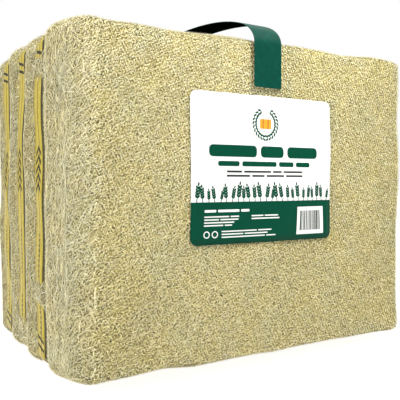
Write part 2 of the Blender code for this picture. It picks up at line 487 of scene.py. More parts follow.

# %% [markdown]
# Under the top layer lie more straws, partly in shadow. Modelling them would cost millions of faces
# that nobody sees. Here they are one closed core, a little under the skin, in darker colours than the
# top straw: painted shade. Its pattern is a mosaic of small cells, each striped in a direction of its
# own, like the cut ends and sides of short stems. It is painted darker still under the straps and in
# the clefts beside them, as painted shade where the straw falls away.

# %% Core material
CHAFF_CELL = 3.0 * MM
CHAFF_STRIPE = 1.3 * MM

core_material, core_tree, core_shader = new_material(
    "shaded_chopped_straw", {"Roughness": 0.85, "IOR": 1.45, "Specular IOR Level": 0.1}
)
core_place = add_node(core_tree, "TexCoord")
core_cells = add_node(
    core_tree, "TexVoronoi",
    values={"Scale": 1 / CHAFF_CELL, "Randomness": 1.0},
    links={"Vector": core_place.outputs["Object"]},
)
core_way = add_node(
    core_tree, "VectorMath", {"operation": "SUBTRACT"},
    values={1: (0.5, 0.5, 0.5)},
    links={0: core_cells.outputs["Color"]},
)
core_unit = add_node(core_tree, "VectorMath", {"operation": "NORMALIZE"}, links={0: core_way})
core_along = add_node(
    core_tree, "VectorMath", {"operation": "DOT_PRODUCT"},
    links={0: core_unit, 1: core_place.outputs["Object"]},
)
core_turns = add_node(
    core_tree, "Math", {"operation": "MULTIPLY"},
    values={1: 2 * math.pi / CHAFF_STRIPE},
    links={0: core_along.outputs["Value"]},
)
core_wave = add_node(core_tree, "Math", {"operation": "SINE"}, links={0: core_turns})
# Painted shade: the core's colours run darker than the top straw's
core_ramp = add_node(
    core_tree, "ValToRGB",
    links={"Fac": core_wave},
    stops=[(0.0, "#998a44"), (0.35, "#dbcd84"), (0.9, "#f7ecae")],
)
# Painted shade: the cleft value darkens the core under the straps and in the clefts beside them
core_cleft_shade = add_node(core_tree, "Attribute", {"attribute_name": "cleft"})
core_dark = add_node(
    core_tree, "MapRange",
    values={"To Min": 1.0, "To Max": 0.32},
    links={"Value": core_cleft_shade.outputs["Fac"]},
)
core_shaded = add_node(
    core_tree, "VectorMath", {"operation": "SCALE"}, links={0: core_ramp, "Scale": core_dark}
)
core_bump = add_node(
    core_tree, "Bump", values={"Strength": 0.7, "Distance": 0.8 * MM}, links={"Height": core_wave}
)
wire(
    core_tree, core_shader, {"Base Color": add_patches(core_tree, core_shaded), "Normal": core_bump}
)

# %% Core mesh
STRAW_DIP = 4.6 * MM
CORE_DEPTH = 2.4 * MM
CORE_STEP = 8 * MM
CLEFT_DEPTH = 3.4 * MM
# Distances from a strap's middle line: where its cleft starts, the edges of its floor, and its end
CLEFT_EDGES = (13.5 * MM, 14.5 * MM, 20.0 * MM, 22.5 * MM)


def cleft_share(y):
    """1 in the cleft that runs along each edge of a strap, and 0 away from it."""
    return np.interp(off_strap(y), CLEFT_EDGES, (0.0, 1.0, 1.0, 0.0))


core_lines = even_lines(CORE_STEP)
across_lines = [line + sign * off for line in STRAP_LINES for off in CLEFT_EDGES for sign in (-1, 1)]
away_lines = [y for y in core_lines[1] if off_strap(y) > CLEFT_EDGES[-1] + 2 * MM]
core_lines[1] = np.array(sorted(away_lines + across_lines + list(STRAP_LINES)))
core_spots, core_squares = box_grid(core_lines)
core_cleft = cleft_share(core_spots[:, 1])
core_dip = STRAW_DIP * groove_share(core_spots[:, 1]) + CLEFT_DEPTH * core_cleft
core_points, _ = skin(core_spots, CORE_DEPTH, core_dip)
core_mesh = mesh_from_faces("straw_core", core_points, core_squares)
core_mesh.shade_smooth()
on_wide_face = np.abs(core_spots[:, 1]) > FILM_HALF[1] - ON_FACE
# Painted shade: 1 under a strap and in the clefts beside it, fading to 0 past them, and 0 on the wide
# faces
in_shade = np.interp(off_strap(core_spots[:, 1]), CLEFT_EDGES[2:], (1.0, 0.0))
point_values(core_mesh, "cleft", np.where(on_wide_face, 0.0, in_shade))
add_piece("straw_core", core_mesh, "straw_block", [core_material])

# %% [markdown]
# The visible straw is real geometry. Each piece is a closed sliver, like a splinter of a split stem:
# a straight edge at each end, one of them turned a little against the other, and four triangles
# between them. Both ends are placed on the skin, so it lies along the bale at any angle. The pieces
# start from a jittered grid, and neighbours lie at five alternating depths, so that they cross over
# and under each other. The deeper a piece lies, the darker it is painted, as painted shade under the
# pieces above it. Where a straw runs past the end of one side of the box, its end is folded round
# onto the next side.
#
# Most pieces are short chaff. On the wide faces their grain turns slowly along the bale, and they are
# painted darker low on the left and lighter along the top edge, as painted shade and painted light.
# On the strapped ends there are long stems as well, which lean either way from upright. None lies
# over a strap, except where the press left a drift of straw on it.

# %% Sizes of the straw
# Depth under the film, and the place on the colour ramp, of the top pieces and of the lowest: the
# lowest are painted darker, as painted shade
TOP_DEPTH = 0.9 * MM
LOW_DEPTH = 2.6 * MM
TOP_SHADE = 1.0
LOW_SHADE = 0.05
SHADE_SPREAD = 0.14
# How strongly the painted shade and painted light change with the place on a wide face
PAINTED_SHADE_SHARE = 0.42

# The least and most length and width, and how far pieces roll, twist and taper, turns in radians
CHAFF_LENGTH = (1.7 * MM, 4.7 * MM)
CHAFF_WIDTH = (0.7 * MM, 1.55 * MM)
STEM_LENGTH = (10 * MM, 24 * MM)
STEM_WIDTH = (0.8 * MM, 1.5 * MM)
ROLL = 0.3
TWIST = (0.3, 0.7)
TAPER = (0.6, 1.0)
SLIVER_FACES = ((0, 1, 2), (0, 3, 1), (1, 3, 2), (0, 2, 3))

# How they lie: the grain's turn from the left end to the right, the share that follows it, and how
# far pieces stray from it, stems from upright, either end from its depth and all from their grid
GRAIN_TURN = (math.radians(45), math.radians(120))
GRAIN_SHARE = 0.45
GRAIN_SPREAD = 0.35
STEM_SPREAD = 0.95
STEM_DEPTH_SHARE = 0.6
END_LIFT_MM = 0.25
JITTER = 0.45
LEVELS = 5
# Each straw's fibre lines come from a place of its own in the noise, within this reach
NOISE_REACH = 500

# How straw falls away beside a strap, and how much of that a drift fills
STRAP_MARGIN = 1.9 * MM
SHOULDER_DIP = 1.4 * MM
SHOULDER_REACH = 12 * MM
DRIFT_FILL = 0.6
DRIFT_EDGE = 0.3

# Drifts of straw over a strap on the left end: the strap's line, the middle height, the half length
DRIFTS = (
    (-STRAP_PITCH, 367 * MM, 13 * MM),
    (-STRAP_PITCH, 98 * MM, 14 * MM),
    (0.0, 30 * MM, 22 * MM),
)
print("drifts of straw over a strap:", len(DRIFTS))

# %% Where straw may lie, and how deep
def drift_share(spots):
    """1 in the middle of a drift of straw over a strap, and 0 away from the drifts."""
    total = np.zeros(len(spots))
    on_left_end = spots[:, 0] < -FILM_HALF[0] + 1 * MM
    for line, height, half in DRIFTS:
        beside = np.abs(spots[:, 1] - line) / (STRAP_WIDTH * 0.8)
        along = np.abs(spots[:, 2] + FILM_HALF[2] - height) / half
        total = np.maximum(total, ease(1.6 - np.hypot(beside, along)))
    return np.where(on_left_end, total, 0.0)


def straw_dip(spots):
    """How deep the straw's top layer lies under the crests of the bulges."""
    from_strap = off_strap(spots[:, 1]) - STRAP_WIDTH / 2 - STRAP_MARGIN
    shoulder = SHOULDER_DIP * ease(1 - from_strap / SHOULDER_REACH)
    dip = STRAW_DIP * groove_share(spots[:, 1]) + shoulder
    return dip * (1 - DRIFT_FILL * drift_share(spots))


def fold_round(spots, axis, side):
    """Brings spots that run past the edge of their side onto the side that it meets."""
    for other in ((axis + 1) % 3, (axis + 2) % 3):
        past = np.maximum(np.abs(spots[:, other]) - FILM_HALF[other], 0.0)
        spots[:, other] = np.clip(spots[:, other], -FILM_HALF[other], FILM_HALF[other])
        spots[:, axis] -= side * past
    return spots


def clear_of_straps(spots):
    """Whether straw may lie at these spots: off the straps, or on the wide faces, or in a drift."""
    off = off_strap(spots[:, 1]) > STRAP_WIDTH / 2 + STRAP_MARGIN
    on_wide = np.abs(spots[:, 1]) > FILM_HALF[1] - ON_FACE
    return off | on_wide | (drift_share(spots) > DRIFT_EDGE)


# %% The form of the slivers
def sliver_atlas(count):
    """Where each corner of each sliver lies on a square map: one small cell for each sliver."""
    per_row = math.ceil(math.sqrt(count))
    cell = np.stack([np.arange(count) % per_row, np.arange(count) // per_row], 1)
    strip = np.array([(0.04 + 0.184 * step, 0.92 if step % 2 else 0.08) for step in range(6)])
    corners = np.concatenate([strip[face : face + 3] for face in range(4)])
    return ((cell[:, None, :] + corners[None]) / per_row).reshape(-1, 2)


def turned(across, out, angle):
    """The direction across a straw, turned about the straw by an angle."""
    return across * np.cos(angle)[:, None] + out * np.sin(angle)[:, None]


def grain(middle):
    """The way that straw tends to lie on the wide faces: it turns slowly along the bale."""
    along = (middle[:, 0] / FILM_HALF[0] + 1) / 2
    return np.interp(along, (0.0, 1.0), GRAIN_TURN)


def painted_shade_by_place(middle):
    """Painted shade here: more low on the left, and below 0, which is painted light, along the top
    edge.
    """
    x, _, z = (middle / FILM_HALF).T
    by_height = np.interp(z, (-1.0, 0.5, 0.9), (1.0, 0.1, -0.6))
    by_side = np.interp(x, (-0.9, 0.8), (1.0, 0.3))
    return PAINTED_SHADE_SHARE * by_height * by_side


def sliver_corners(tail, tip, out, width, chance):
    """The four corners of each sliver: an edge at its tail and a turned, shorter one at its tip."""
    run = unit(tip - tail)
    across = unit(np.cross(unit(out), run))
    out = np.cross(run, across)
    roll = chance.uniform(-ROLL, ROLL, len(tail))
    twist = chance.uniform(*TWIST, len(tail))
    tail_edge = turned(across, out, roll - twist / 2) * width[:, None] / 2
    tip_edge = turned(across, out, roll + twist / 2) * width[:, None] / 2
    tip_edge *= chance.uniform(*TAPER, len(tail))[:, None]
    return np.stack([tail - tail_edge, tail + tail_edge, tip - tip_edge, tip + tip_edge], 1)


# %% Straw laid over each side
def lay_straw(name, axis, side, per_square_metre, stem_share, seed, part=(-1.0, 1.0)):
    """Covers one side of the bale with short chaff and a share of long stems that lean from upright.

    part is how much of a wide face's length is covered, from -1 at the left end to 1 at the right.
    """
    chance = np.random.default_rng(seed)
    first, second = ((axis + 1) % 3, (axis + 2) % 3)
    columns = round(2 * FILM_HALF[first] * math.sqrt(per_square_metre))
    rows = round(FILM_HALF[second] * (part[1] - part[0]) * math.sqrt(per_square_metre))
    count = columns * rows
    column, row = np.divmod(np.arange(count), rows)
    is_stem = chance.random(count) < stem_share
    middle = np.zeros((count, 3))
    middle[:, axis] = side * FILM_HALF[axis]
    share = (column + 0.5 + chance.uniform(-JITTER, JITTER, count)) / columns
    middle[:, first] = (2 * share - 1) * FILM_HALF[first]
    share = (row + 0.5 + chance.uniform(-JITTER, JITTER, count)) / rows
    middle[:, second] = (part[0] + (part[1] - part[0]) * share) * FILM_HALF[second]
    length = np.where(
        is_stem, chance.uniform(*STEM_LENGTH, count), chance.uniform(*CHAFF_LENGTH, count)
    )
    width = np.where(
        is_stem, chance.uniform(*STEM_WIDTH, count), chance.uniform(*CHAFF_WIDTH, count)
    )
    upright = math.pi / 2 if second == 2 else 0.0
    leaning = chance.normal(upright, STEM_SPREAD, count)
    angle = np.where(is_stem, leaning, chance.uniform(-math.pi, math.pi, count))
    if axis == 1:
        follows = chance.random(count) < GRAIN_SHARE
        angle = np.where(follows, chance.normal(grain(middle), GRAIN_SPREAD), angle)
    along = np.zeros((count, 3))
    along[:, first] = np.cos(angle) * length / 2
    along[:, second] = np.sin(angle) * length / 2
    deep = ((column + 2 * row) % LEVELS + chance.random(count)) / LEVELS
    deep = np.where(is_stem, deep * STEM_DEPTH_SHARE, deep)
    depth = TOP_DEPTH + (LOW_DEPTH - TOP_DEPTH) * deep
    lift = chance.uniform(-END_LIFT_MM, END_LIFT_MM, count) * MM
    tails, tips = (fold_round(middle + sign * along, axis, side) for sign in (-1, 1))
    kept = clear_of_straps(tails) & clear_of_straps(tips) & clear_of_straps(middle)
    tail, tail_out = skin(tails, np.maximum(depth - lift, TOP_DEPTH), straw_dip(tails))
    tip, tip_out = skin(tips, np.maximum(depth + lift, TOP_DEPTH), straw_dip(tips))
    points = sliver_corners(tail, tip, tail_out + tip_out, width, chance)
    stem = np.zeros((count, 4, 3))
    stem[:, 2:, 0] = length[:, None] / MM
    stem[:, (0, 2), 1] = -width[:, None] / MM / 2
    stem[:, (1, 3), 1] = width[:, None] / MM / 2
    stem[:, :, 2] = chance.uniform(0, NOISE_REACH, count)[:, None]
    # Painted shade and light on the wide faces: more pieces turn dark low on the left, fewer along the
    # top
    shaded = deep ** (1 - painted_shade_by_place(middle)) if axis == 1 else deep
    # Painted shade: the deeper a piece lies, the further down the colour ramp it goes
    shade = TOP_SHADE + (LOW_SHADE - TOP_SHADE) * shaded + chance.normal(0, SHADE_SPREAD, count)
    shade = np.clip(shade, 0.02, 0.98)
    total = kept.sum()
    faces = (4 * np.arange(total)[:, None, None] + np.array(SLIVER_FACES)).reshape(-1, 3)
    mesh = mesh_from_faces(name, points[kept].reshape(-1, 3), faces)
    atlas = mesh.uv_layers.new(name="OFBake")
    atlas.uv.foreach_set("vector", sliver_atlas(total).astype(np.float32).ravel())
    point_values(mesh, "shade", np.repeat(shade[kept], 4))
    point_values(mesh, "stem_mm", stem[kept].reshape(-1, 3))
    return add_piece(name, mesh, "straw_block", [chopped_straw])


lay_straw("straw_front_left", 1, -1, 440_000, 0.0, 11, (-1.0, 0.0))
lay_straw("straw_front_right", 1, -1, 330_000, 0.0, 21, (0.0, 1.0))
lay_straw("straw_corner_stems", 1, -1, 60_000, 1.0, 31, (-1.0, -0.88))
lay_straw("straw_back", 1, 1, 160_000, 0.0, 12)
lay_straw("straw_left_end", 0, -1, 230_000, 0.25, 13)
lay_straw("straw_right_end", 0, 1, 150_000, 0.25, 14)
lay_straw("straw_top", 2, 1, 170_000, 0.05, 15)
lay_straw("straw_underside", 2, -1, 60_000, 0.05, 16)

# %% [markdown]
# Straps and label are flat things with print on them. Ink has no thickness, so print is not modelled
# as raised shapes and not painted from an image: the sheet itself is cut along the outline of every
# printed shape, and each face takes the ink that was laid on last. Blender's constrained
# triangulation does the cutting, and keeps the edges of the print perfectly sharp.

# %% Printed sheets
def rectangle(left, bottom, width, height):
    """The outline of a rectangle, anticlockwise."""
    return [
        (left, bottom),
        (left + width, bottom),
        (left + width, bottom + height),
        (left, bottom + height),
    ]


def round_rectangle(left, bottom, width, height, radius, steps=5):
    """The outline of a rectangle with round corners, anticlockwise."""
    outline = []
    for corner, (x, y) in enumerate(((1, 0), (1, 1), (0, 1), (0, 0))):
        centre_x = left + radius + x * (width - 2 * radius)
        centre_y = bottom + radius + y * (height - 2 * radius)
        for step in range(steps + 1):
            angle = math.pi / 2 * (corner - 1 + step / steps)
            outline.append(
                (centre_x + radius * math.cos(angle), centre_y + radius * math.sin(angle))
            )
    return outline


def ellipse(x, y, half_width, half_height, turn=0.0, steps=24):
    """The outline of an ellipse, turned anticlockwise by `turn`."""
    outline = []
    for step in range(steps):
        angle = 2 * math.pi * step / steps
        a, b = half_width * math.cos(angle), half_height * math.sin(angle)
        outline.append(
            (x + a * math.cos(turn) - b * math.sin(turn), y + a * math.sin(turn) + b * math.cos(turn))
        )
    return outline


def cut_sheet(outline, prints, fold_lines):
    """Cuts a flat outline along its prints. Returns points, triangles and the ink of each triangle.

    prints holds pairs of an outline and an ink number, the lowest layer first. Ink 0 is bare.
    fold_lines are extra cuts that let the sheet bend.
    """
    points, edges, faces = [], [], []
    for shape in [outline, *(shape for shape, _ in prints)]:
        start = len(points)
        points += shape
        faces.append(list(range(start, len(points))))
    for one, other in fold_lines:
        points += [one, other]
        edges.append((len(points) - 2, len(points) - 1))
    found = delaunay_2d_cdt([Vector(point) for point in points], edges, faces, 1, 1e-6, True)
    places, triangles, layers = found[0], found[2], found[5]
    inks = [0] + [ink for _, ink in prints]
    kept = [(ring, max(under)) for ring, under in zip(triangles, layers) if 0 in under]
    return (
        np.array([tuple(place) for place in places]),
        np.array([ring for ring, _ in kept]),
        np.array([inks[top] for _, top in kept]),
    )


def cuts(length, step):
    """Even places along a length, about one step apart, without its two ends."""
    return np.linspace(0, length, round(length / step) + 1)[1:-1]


def thicken(piece, thickness):
    """Gives a sheet its thickness, towards the bale."""
    solid = piece.modifiers.new("thickness", "SOLIDIFY")
    solid.thickness = thickness
    solid.offset = -1.0


# %% [markdown]
# The straps are extruded polyester: tough, smooth, mustard yellow, and a little translucent, with a
# satin gloss. Printing on them is plain: chevrons, slanted bars and dashes in dark brown ink, and two
# thin rules in ochre. Both inks are slightly duller than the strap.

# %% Strap materials
def make_printed_plastic(name, colour, roughness, mottle, gloss, grit=2.5 * MM):
    """Smooth plastic or ink of one colour, with mottling of grit size and a barely uneven surface."""
    material, tree, shader = new_material(
        name, {"Roughness": roughness, "IOR": 1.5, "Specular IOR Level": gloss}
    )
    place = add_node(tree, "TexCoord")
    noise = add_node(
        tree, "TexNoise",
        values={"Scale": 1 / grit, "Detail": 3.0},
        links={"Vector": place.outputs["Object"]},
    )
    shade = add_node(
        tree, "MapRange",
        values={"From Min": 0.3, "From Max": 0.7, "To Min": 1 - mottle, "To Max": 1.0},
        links={"Value": noise},
    )
    tint = add_node(
        tree, "VectorMath", {"operation": "SCALE"},
        values={0: linear(colour)[:3]},
        links={"Scale": shade},
    )
    bump = add_node(
        tree, "Bump", values={"Strength": 0.15, "Distance": 0.1 * MM}, links={"Height": noise}
    )
    wire(tree, shader, {"Base Color": tint, "Normal": bump})
    return material


strap_plastic = make_printed_plastic("extruded_polyester_strap", "#a89631", 0.35, 0.22, 0.08, 9 * MM)
strap_ink = make_printed_plastic("brown_strap_ink", "#120d01", 0.5, 0.2, 0.03)
strap_rule_ink = make_printed_plastic("ochre_rule_ink", "#594510", 0.5, 0.3, 0.05)

# %% [markdown]
# Each strap is a closed loop round the ends, the top and the underside. It is cut as one long flat
# ribbon, printed, and then wound onto the floor of its groove. Its print repeats on each side of the
# bale, in the same order round the loop.

# %% Strap meshes
STRAP_INSET = 1.6 * MM
STRAP_DIP = 3.6 * MM
STRAP_THICK = 0.6 * MM
STRAP_FOLD = 6 * MM
STRAP_WELD = 0.02 * MM
DARK, RULE = 1, 2
SIDE_RUN = FILM_HALF[2] * 2
TOP_RUN = FILM_HALF[0] * 2
STRAP_RUN = 2 * (SIDE_RUN + TOP_RUN)

# Where the marks stand on one side, in metres from its start
BAR_PLACES = (0.026, 0.036, 0.372, 0.382)
CHEVRON_PLACES = [0.218 + 0.011 * step for step in range(5)]
DASH_RUNS = ((0.047, 6), (0.110, 10))
DASH_STEP = 0.0062
TOP_PRINT_START = 0.07

# Where dashes and rules stand across the strap, then a dash's length, and the width of both
DASHES = ((-0.0034, 0.0044, 0.0030), (0.0012, 0.0036, 0.0016))
RULES = ((-0.0030, 0.0022), (0.0092, 0.0010))

# How much of the strap's width a bar and a chevron span
BAR_SPAN = 0.92
CHEVRON_SPAN = 0.62


def slanted_bar(at, lean=0.006, thick=0.0038):
    """A bar that crosses the strap on a slant."""
    half = STRAP_WIDTH / 2 * BAR_SPAN
    return [(at, -half), (at + thick, -half), (at + thick + lean, half), (at + lean, half)]


def chevron(at, height=0.009, thick=0.0055):
    """An arrow head that points along the strap."""
    half = STRAP_WIDTH / 2 * CHEVRON_SPAN
    return [
        (at, -half),
        (at + thick, -half),
        (at + height + thick, 0.0),
        (at + thick, half),
        (at, half),
        (at + height, 0.0),
    ]


def side_print(start):
    """The marks on one side of the bale, at their distance from where the side starts."""
    marks = [slanted_bar(start + at) for at in BAR_PLACES]
    marks += [chevron(start + at) for at in CHEVRON_PLACES]
    for first, count in DASH_RUNS:
        for step in range(count):
            marks += [rectangle(start + first + DASH_STEP * step, *dash) for dash in DASHES]
    return marks


strap_prints = []
for across, rule_width in RULES:
    strap_prints.append((rectangle(0.0, across, STRAP_RUN, rule_width), RULE))
side_starts = (
    0.0, SIDE_RUN + TOP_PRINT_START, SIDE_RUN + TOP_RUN, 2 * SIDE_RUN + TOP_RUN + TOP_PRINT_START
)
for start in side_starts:
    strap_prints += [(mark, DARK) for mark in side_print(start)]
strap_folds = [
    ((at, -STRAP_WIDTH / 2), (at, STRAP_WIDTH / 2)) for at in cuts(STRAP_RUN, STRAP_FOLD)
]
strap_places, strap_triangles, strap_inks = cut_sheet(
    rectangle(0.0, -STRAP_WIDTH / 2, STRAP_RUN, STRAP_WIDTH), strap_prints, strap_folds
)


def strap_spots(places, middle):
    """Winds flat strap places round the box: up the left end, along the top, down and back under."""
    run = places[:, 0] % STRAP_RUN
    stops = np.cumsum([0, SIDE_RUN, TOP_RUN, SIDE_RUN, TOP_RUN])
    half_x, _, half_z = FILM_HALF
    x = np.interp(run, stops, [-half_x, -half_x, half_x, half_x, -half_x])
    z = np.interp(run, stops, [-half_z, half_z, half_z, -half_z, -half_z])
    return np.stack([x, middle + places[:, 1], z], 1)


def make_strap(name, middle):
    """Winds the printed ribbon into its groove and closes the loop."""
    spots = strap_spots(strap_places, middle)
    points, _ = skin(spots, STRAP_INSET, np.full(len(spots), STRAP_DIP))
    mesh = mesh_from_faces(name, points, strap_triangles)
    mesh.shade_smooth()
    finishes = [strap_plastic, strap_ink, strap_rule_ink]
    piece = add_piece(name, mesh, name.replace("_band", ""), finishes, strap_inks)
    weld = piece.modifiers.new("close_the_loop", "WELD")
    weld.merge_threshold = STRAP_WELD
    thicken(piece, STRAP_THICK)


for strap_name, line in zip(("strap_front", "strap_middle", "strap_back"), STRAP_LINES):
    make_strap(strap_name + "_band", line)

# %% [markdown]
# The film is shrink film, a clear polyolefin a few hundredths of a millimetre thick. It is blown,
# then shrunk on with heat, so it is smooth and glossy, and it hazes and creases where it is pulled
# round corners and over the straps. A small vent hole in the back lets the air out. So thin a wall is
# modelled as one sheet all round, which light passes straight through. Its alpha says how much of it
# shows: the haze, and more of it edge-on, where its pale colour is a painted reflection.

# %% Film material
HAZE_STREAK = 5 * MM
film_material, film_tree, film_shader = new_material(
    "clear_polyolefin_shrink_film",
    {"Base Color": linear("#e9e6d8"), "Roughness": 0.18, "IOR": 1.5},
)
film_haze = add_node(film_tree, "Attribute", {"attribute_name": "haze"})
film_place = add_node(film_tree, "TexCoord")
film_stretch = add_node(
    film_tree, "VectorMath", {"operation": "MULTIPLY"},
    values={1: (1.0, 1.0, 0.22)},
    links={0: film_place.outputs["Object"]},
)
film_streaks = add_node(
    film_tree, "TexNoise",
    values={"Scale": 1 / HAZE_STREAK, "Detail": 3.0, "Distortion": 0.6},
    links={"Vector": film_stretch},
)
film_share = add_node(
    film_tree, "MapRange",
    values={"From Min": 0.35, "From Max": 0.75, "To Min": 0.5, "To Max": 1.7},
    links={"Value": film_streaks},
)
film_mist = add_node(
    film_tree, "Math", {"operation": "MULTIPLY"}, links={0: film_haze.outputs["Fac"], 1: film_share}
)
# Painted reflection: edge-on the film shows more of its pale colour, added to its real haze
film_reflection_share = add_node(film_tree, "LayerWeight", values={"Blend": 0.15})
film_haze_and_reflection = add_node(
    film_tree, "Math", {"operation": "MULTIPLY_ADD", "use_clamp": True},
    values={1: 0.10},
    links={0: film_reflection_share.outputs["Fresnel"], 2: film_mist},
)
film_bump = add_node(
    film_tree, "Bump",
    values={"Strength": 0.35, "Distance": 0.6 * MM},
    links={"Height": film_streaks},
)
wire(film_tree, film_shader, {"Alpha": film_haze_and_reflection, "Normal": film_bump})

# %% Film mesh
FILM_STEP = 6.4 * MM
FILM_DIP = 3.0 * MM
CLEAR_HAZE = 0.015
CORNER_HAZE = 0.022
VENT_SPOT = np.array((0.090, 0.0975))
VENT_RADIUS = 4 * MM
VENT_PULL = 14 * MM
# How far from each end of the bale the corner haze starts, and over what length it grows
HAZE_REACH = (0.045, 0.03)

film_spots, film_squares = box_grid(even_lines(FILM_STEP))
on_back = film_spots[:, 1] > FILM_HALF[1] - ON_FACE
square_middles = film_spots[film_squares].mean(1)
from_vent = np.abs(square_middles[:, (0, 2)] - VENT_SPOT).max(1)
in_vent = (from_vent < FILM_STEP * 0.5) & on_back[film_squares].all(1)
film_squares = film_squares[~in_vent]
to_rim = film_spots[:, (0, 2)] - VENT_SPOT
away = np.linalg.norm(to_rim, axis=1)
near_vent = on_back & (away < VENT_PULL)
stretched_away = VENT_RADIUS + away * (VENT_PULL - VENT_RADIUS) / VENT_PULL
pulled = VENT_SPOT + to_rim / np.maximum(away, 1e-6)[:, None] * stretched_away[:, None]
for column, part in ((0, 0), (2, 1)):
    film_spots[near_vent, column] = pulled[near_vent, part]
film_points, _ = skin(
    film_spots, 0.0, FILM_DIP * groove_share(film_spots[:, 1]), flat_under=True
)
film_mesh = mesh_from_faces("film", film_points, film_squares)
film_mesh.shade_smooth()
corner_start = FILM_HALF[0] - HAZE_REACH[0]
round_the_corner = ease((np.abs(film_points[:, 0]) - corner_start) / HAZE_REACH[1])
point_values(film_mesh, "haze", CLEAR_HAZE + (CORNER_HAZE - CLEAR_HAZE) * round_the_corner)
add_piece("shrink_film", film_mesh, "film_wrap", [film_material])

# %% [markdown]
# The label is a printed polypropylene sticker, white with a dark green band, satin, with rounded
# corners. Its print is a plain design made for this model: a wreath of grain round a small bale, bars
# where words would be, a row of standing ears, and a box of bars that mean nothing.

# %% Label print
label_low, label_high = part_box("label")
LABEL_WIDTH = (label_high - label_low).x
LABEL_HEIGHT = (label_high - label_low).z
LABEL_CORNER = 9 * MM
LABEL_PROUD = 0.8 * MM
LABEL_THICK = 0.3 * MM
LABEL_FOLD = 9 * MM
BAND_TOP = 50 * MM
WHITE, GREEN, GOLD, GREY = 0, 1, 2, 3


def grain_ear(x, y, height, turn, rows, ink):
    """An ear of grain on its stalk, leaning by `turn`, as kernels in pairs with one on top."""
    up = Vector((math.sin(turn), math.cos(turn)))
    beside = Vector((up.y, -up.x))
    foot = Vector((x, y))
    half = beside * 0.6 * MM
    top = foot + up * height * 0.93
    stalk = [foot - half, foot + half, top + half * 0.6, top - half * 0.6]
    prints = [([tuple(corner) for corner in stalk], ink)]
    kernel = height * 0.62 / rows
    for row in range(rows):
        at = foot + up * (height * 0.36 + kernel * row)
        for side in (-1, 1):
            place = at + beside * side * kernel * 0.48
            lean = math.pi / 2 - turn - side * 0.5
            prints.append((ellipse(*place, kernel * 0.68, kernel * 0.38, lean, 10), ink))
    tip = foot + up * (height * 0.36 + kernel * (rows + 0.1))
    prints.append((ellipse(*tip, kernel * 0.68, kernel * 0.34, math.pi / 2 - turn, 10), ink))
    return prints


def wreath(x, y, radius, ink):
    """Kernels in two rows along the lower three quarters of a circle."""
    prints = []
    count = 22
    for step in range(count):
        angle = math.radians(-240 + 300 * step / (count - 1))
        for side in (-1, 1):
            reach = radius + side * 1.9 * MM
            place = (x + reach * math.cos(angle), y + reach * math.sin(angle))
            along = angle + math.pi / 2
            up_each_arm = 1 if step < count / 2 else -1
            lean = along - side * 0.5 * up_each_arm
            prints.append((ellipse(*place, 2.7 * MM, 1.25 * MM, lean, 10), ink))
    return prints


def bars(left, bottoms, height, widths, gap, ink):
    """Rows of round-ended bars, in mm: a bottom and a list of widths for each row."""
    prints = []
    for bottom, row in zip(bottoms, widths):
        x = left * MM
        for width in row:
            shape = round_rectangle(x, bottom * MM, width * MM, height * MM, height * MM * 0.35, 3)
            prints.append((shape, ink))
            x += width * MM + gap * MM
    return prints


# Bars where words would be, in mm: left, bottoms, height, widths in each row, gap, ink
WHITE_FIELD_BARS = (
    (24, [103], 14, [[68, 36, 48]], 6, GREEN),
    (36, [92], 6, [[30, 52, 24, 22]], 4, GREEN),
    (48, [84.5, 79.5], 2.4, [[22, 40, 14, 31], [34, 18, 28, 27]], 3, GREY),
)
GREEN_BAND_BARS = (
    (18, [38], 3, [[16, 30, 12]], 2.5, WHITE),
    (18, [32, 28.6, 25.2, 21.8], 1.5, [[34, 12], [20, 25], [41], [26, 10]], 2, WHITE),
    (84, [32, 28.6], 1.5, [[18, 20], [42]], 2, WHITE),
    (42, [14.6, 11.2, 7.8], 1.4, [[50, 20], [30, 34], [62, 14]], 2, WHITE),
)
# The row of ears, the wreath with a small tied bale in it, and two rings on the band
EAR_COUNT = 25
EAR_MARGIN = 7 * MM
EAR_HEIGHT_MM = (15, 24)
EAR_LEAN = 0.2
WREATH_CENTRE = 144 * MM
WREATH_RADIUS = 17 * MM
SMALL_BALE = (18 * MM, 12 * MM)
SMALL_BALE_BOTTOM = 138 * MM
TIE_PLACES = (-4.6 * MM, 3.4 * MM)
TIE_WIDTH = 1.2 * MM
RING_PLACES = (22 * MM, 33 * MM)
RING_HEIGHT = 12 * MM
RING_RADII = ((4.2 * MM, WHITE), (3.0 * MM, GREEN))

middle_x = LABEL_WIDTH / 2
label_prints = [(rectangle(-0.01, -0.01, LABEL_WIDTH + 0.02, BAND_TOP + 0.01), GREEN)]
label_prints += wreath(middle_x, WREATH_CENTRE, WREATH_RADIUS, GREEN)
bale_left = middle_x - SMALL_BALE[0] / 2
label_prints.append((round_rectangle(bale_left, SMALL_BALE_BOTTOM, *SMALL_BALE, 2 * MM), GOLD))
for place in TIE_PLACES:
    tie = rectangle(middle_x + place, SMALL_BALE_BOTTOM, TIE_WIDTH, SMALL_BALE[1])
    label_prints.append((tie, GREEN))
for row in WHITE_FIELD_BARS:
    label_prints += bars(*row)
ear_chance = np.random.default_rng(5)
for number in range(EAR_COUNT):
    ear_x = EAR_MARGIN + number * (LABEL_WIDTH - 2 * EAR_MARGIN) / (EAR_COUNT - 1)
    ear_height = ear_chance.uniform(*EAR_HEIGHT_MM) * MM
    lean = ear_chance.uniform(-EAR_LEAN, EAR_LEAN)
    label_prints += grain_ear(ear_x, BAND_TOP - 1 * MM, ear_height, lean, 4, GREEN)
for row in GREEN_BAND_BARS:
    label_prints += bars(*row)
for x in RING_PLACES:
    for radius, ink in RING_RADII:
        label_prints.append((ellipse(x, RING_HEIGHT, radius, radius), ink))

